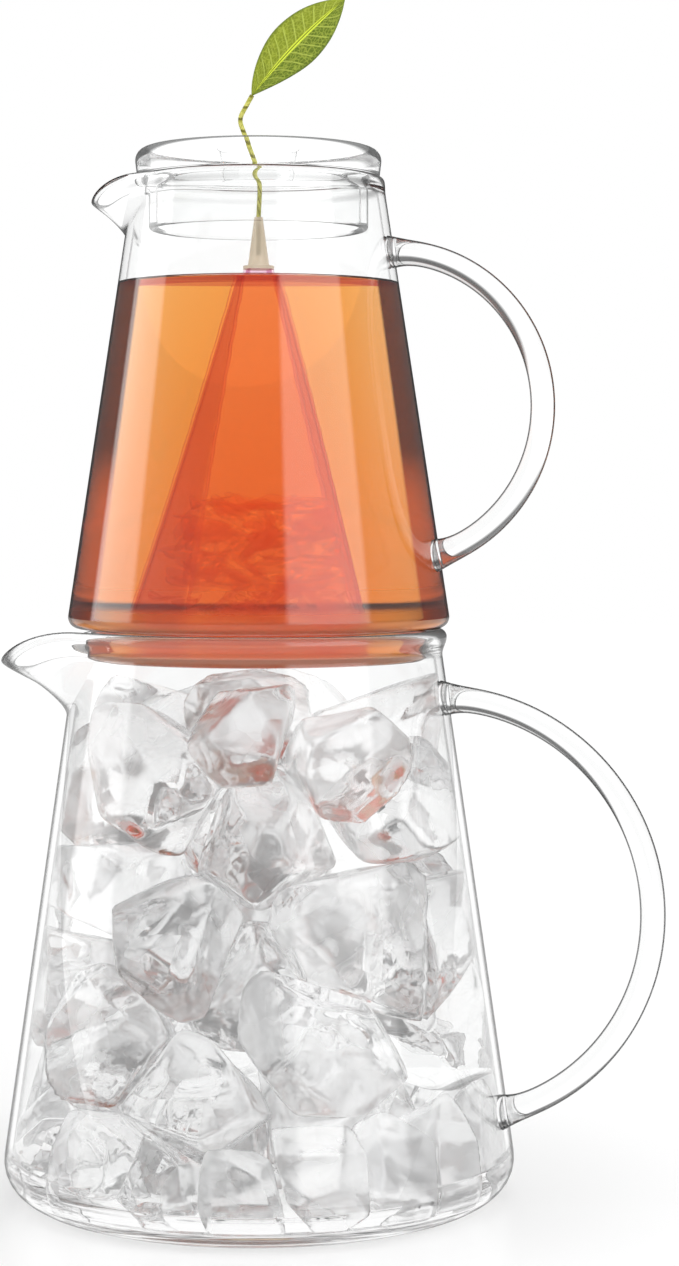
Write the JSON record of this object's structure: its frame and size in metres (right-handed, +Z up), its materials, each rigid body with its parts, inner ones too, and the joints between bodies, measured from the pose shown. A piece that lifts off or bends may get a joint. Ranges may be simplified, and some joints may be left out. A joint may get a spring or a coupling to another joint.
{
  "type": "iced tea maker",
  "caption": "Glass iced tea maker: a handled steeping pitcher with stopper lid and pyramid infuser stands in the mouth of a larger handled ice pitcher.",
  "frame": {"origin": "centre of the ice pitcher's base, on the surface it stands on", "axes": "+Z up along the pitchers' common axis; +X towards the handles; -X towards the spouts"},
  "size_m": [0.1648, 0.1244, 0.2891],
  "materials": {
    "clear_glass": "clear, polished",
    "infuser_cloth": "fine open weave",
    "cap_plastic": "translucent, matte",
    "wire": "plain drawn wire",
    "stem_paper": "rough wound paper",
    "leaf_green": "satin",
    "dry_leaf": "rough, wet"
  },
  "bodies": {
    "ice_pitcher": {"ice_pitcher_body": "clear_glass", "ice_pitcher_handle": "clear_glass"},
    "steeping_pitcher": {"steeping_pitcher_body": "clear_glass", "steeping_pitcher_handle": "clear_glass"},
    "stopper_lid": {"lid": "clear_glass"},
    "infuser": {"infuser_sides": "infuser_cloth", "infuser_base": "infuser_cloth", "infuser_cap": "cap_plastic", "stem_wire": "wire", "stem_wrap": "stem_paper", "infuser_leaf": "leaf_green", "tea_leaves": "dry_leaf"}
  },
  "joints": [
    {"name": "steeping_lift", "type": "slide", "parent": "ice_pitcher", "child": "steeping_pitcher", "axis": [0, 0, 1], "range_m": [0, 0.1]},
    {"name": "lid_lift", "type": "slide", "parent": "steeping_pitcher", "child": "stopper_lid", "axis": [0, 0, 1], "range_m": [0, 0.13]},
    {"name": "infuser_pull", "type": "slide", "parent": "stopper_lid", "child": "infuser", "axis": [0, 0, 1], "range_m": [0, 0.03]}
  ]
}
